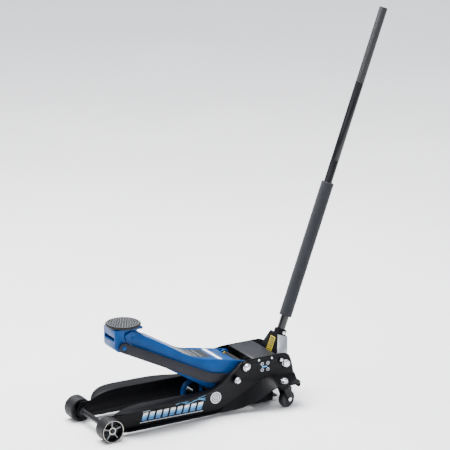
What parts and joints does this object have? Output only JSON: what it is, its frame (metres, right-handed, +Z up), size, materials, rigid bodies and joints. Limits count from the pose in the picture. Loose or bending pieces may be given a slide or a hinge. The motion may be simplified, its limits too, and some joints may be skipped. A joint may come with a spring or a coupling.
{
  "type": "hydraulic trolley jack",
  "caption": "Low-profile hydraulic trolley jack: pressed steel frame, lift arm with a self-levelling round saddle, rear casters and a long pumping handle with a foam sleeve.",
  "frame": {"origin": "centre of the jack's box, on the floor", "axes": "+X towards the handle end, +Z up, +Y to the jack's right side seen from the handle"},
  "size_m": [1.1622, 0.286, 1.3134],
  "materials": {
    "black_enamel": "satin black powder coat on pressed steel",
    "blue_enamel": "semi-gloss blue enamel on welded steel",
    "grey_enamel": "satin charcoal enamel on steel bar",
    "zinc_steel": "bright zinc plate",
    "chrome_plate": "polished plate",
    "turned_steel": "turned and oiled",
    "black_steel": "black oxide or thin black paint on steel",
    "cast_iron": "painted black casting",
    "saddle_rubber": "moulded, knobbed",
    "wheel_nylon": "moulded, finely ribbed tread",
    "handle_gloss_black": "gloss black enamel on steel tube",
    "handle_matt_black": "black enamel, knurled towards the top",
    "grip_foam": "closed-cell foam sleeve",
    "cap_rubber": "moulded cap"
  },
  "bodies": {
    "frame": {"side_plate_left": "black_enamel", "side_plate_right": "black_enamel", "front_axle": "black_steel", "axle_cap_left": "zinc_steel", "axle_cap_right": "zinc_steel", "base_plate": "black_enamel", "cover_plate": "black_enamel", "cover_screw_left_1": "zinc_steel", "cover_screw_left_2": "zinc_steel", "cover_screw_right_1": "zinc_steel", "cover_screw_right_2": "zinc_steel", "hydraulic_block": "cast_iron", "ram_cylinder": "cast_iron", "pump_gland_nut": "zinc_steel", "arm_shaft": "black_steel", "return_spring_left": "zinc_steel", "return_spring_right": "zinc_steel", "arm_shaft_nut_left": "chrome_plate", "arm_shaft_nut_right": "chrome_plate", "link_bolt_left": "zinc_steel", "link_bolt_right": "zinc_steel", "stop_bolt_left": "zinc_steel", "stop_bolt_right": "zinc_steel", "yoke_bolt_left": "zinc_steel", "yoke_bolt_right": "zinc_steel", "caster_nut_left": "zinc_steel", "caster_nut_right": "zinc_steel"},
    "front_wheel_left": {"front_tyre_left": "wheel_nylon", "front_rim_left": "black_steel"},
    "front_wheel_right": {"front_tyre_right": "wheel_nylon", "front_rim_right": "black_steel"},
    "arm": {"lift_arm": "blue_enamel", "head_pin": "blue_enamel"},
    "link_left": {"link_bar_left": "grey_enamel"},
    "link_right": {"link_bar_right": "grey_enamel"},
    "head": {"saddle_head": "blue_enamel"},
    "saddle": {"saddle_cup": "black_steel", "saddle_pad": "saddle_rubber"},
    "ram": {"ram_rod": "chrome_plate", "ram_nose": "blue_enamel", "nose_pin": "chrome_plate", "pull_frame": "black_steel"},
    "yoke": {"yoke_front_plate": "black_enamel", "yoke_cheek_left": "zinc_steel", "yoke_cheek_right": "zinc_steel", "yoke_collar": "black_enamel", "collar_screw": "zinc_steel", "yoke_roller": "turned_steel"},
    "handle": {"handle_lower_tube": "handle_gloss_black", "handle_upper_tube": "handle_matt_black", "foam_sleeve": "grip_foam", "handle_end_cap": "cap_rubber"},
    "pump": {"pump_piston": "chrome_plate"},
    "valve": {"release_valve_stem": "zinc_steel"},
    "caster_left": {"caster_fork_left": "black_enamel", "caster_axle_left": "zinc_steel"},
    "caster_right": {"caster_fork_right": "black_enamel", "caster_axle_right": "zinc_steel"},
    "caster_roll_left": {"caster_wheel_left": "wheel_nylon"},
    "caster_roll_right": {"caster_wheel_right": "wheel_nylon"}
  },
  "joints": [
    {"name": "front_wheel_spin_left", "type": "hinge", "parent": "frame", "child": "front_wheel_left", "pos_m": [-0.54114, -0.116, 0.04], "axis": [0, 1, 0], "continuous": true},
    {"name": "front_wheel_spin_right", "type": "hinge", "parent": "frame", "child": "front_wheel_right", "pos_m": [-0.54114, 0.116, 0.04], "axis": [0, 1, 0], "continuous": true},
    {"name": "arm_lift", "type": "hinge", "parent": "frame", "child": "arm", "pos_m": [-0.01114, 0, 0.156], "axis": [0, 1, 0], "range_deg": [-35, 22]},
    {"name": "link_swing_left", "type": "hinge", "parent": "frame", "child": "link_left", "pos_m": [-0.05114, -0.076, 0.118], "axis": [0, 1, 0], "range_deg": [-35, 22]},
    {"name": "link_swing_right", "type": "hinge", "parent": "frame", "child": "link_right", "pos_m": [-0.05114, 0.076, 0.118], "axis": [0, 1, 0], "range_deg": [-35, 22]},
    {"name": "head_level", "type": "hinge", "parent": "arm", "child": "head", "pos_m": [-0.41114, 0, 0.323], "axis": [0, 1, 0], "range_deg": [-22, 35]},
    {"name": "saddle_turn", "type": "hinge", "parent": "head", "child": "saddle", "pos_m": [-0.42914, 0, 0.346], "axis": [0, 0, 1], "continuous": true},
    {"name": "ram_slide", "type": "slide", "parent": "frame", "child": "ram", "axis": [-1, 0, 0], "range_m": [-0.053, 0.0335]},
    {"name": "yoke_tilt", "type": "hinge", "parent": "frame", "child": "yoke", "pos_m": [0.14186, 0, 0.1435], "axis": [0, 1, 0], "range_deg": [-18, 55]},
    {"name": "pump_stroke", "type": "slide", "parent": "frame", "child": "pump", "axis": [-1, 0, 0], "range_m": [-0.0067, 0.0202]},
    {"name": "handle_twist", "type": "hinge", "parent": "yoke", "child": "handle", "pos_m": [0.14186, 0, 0.1435], "axis": [0.3437, 0, 0.9391], "range_deg": [0, 180]},
    {"name": "valve_turn", "type": "hinge", "parent": "frame", "child": "valve", "pos_m": [0.12586, 0, 0.052], "axis": [1, 0, 0], "range_deg": [0, 180]},
    {"name": "caster_swivel_left", "type": "hinge", "parent": "frame", "child": "caster_left", "pos_m": [0.11886, -0.12, 0.08], "axis": [0, 0, 1], "continuous": true},
    {"name": "caster_spin_left", "type": "hinge", "parent": "caster_left", "child": "caster_roll_left", "pos_m": [0.12852, -0.11741, 0.029], "axis": [-0.2588, 0.9659, 0], "continuous": true},
    {"name": "caster_swivel_right", "type": "hinge", "parent": "frame", "child": "caster_right", "pos_m": [0.11886, 0.12, 0.08], "axis": [0, 0, 1], "continuous": true},
    {"name": "caster_spin_right", "type": "hinge", "parent": "caster_right", "child": "caster_roll_right", "pos_m": [0.12852, 0.12259, 0.029], "axis": [-0.2588, 0.9659, 0], "continuous": true}
  ],
  "couplings": [
    {"joint": "link_swing_left", "follows": "arm_lift", "ratio": 1},
    {"joint": "link_swing_right", "follows": "arm_lift", "ratio": 1},
    {"joint": "head_level", "follows": "arm_lift", "ratio": -1},
    {"joint": "ram_slide", "follows": "arm_lift", "m_per_rad": 0.086},
    {"joint": "pump_stroke", "follows": "yoke_tilt", "m_per_rad": 0.0209},
    {"joint": "valve_turn", "follows": "handle_twist", "ratio": 1}
  ]
}
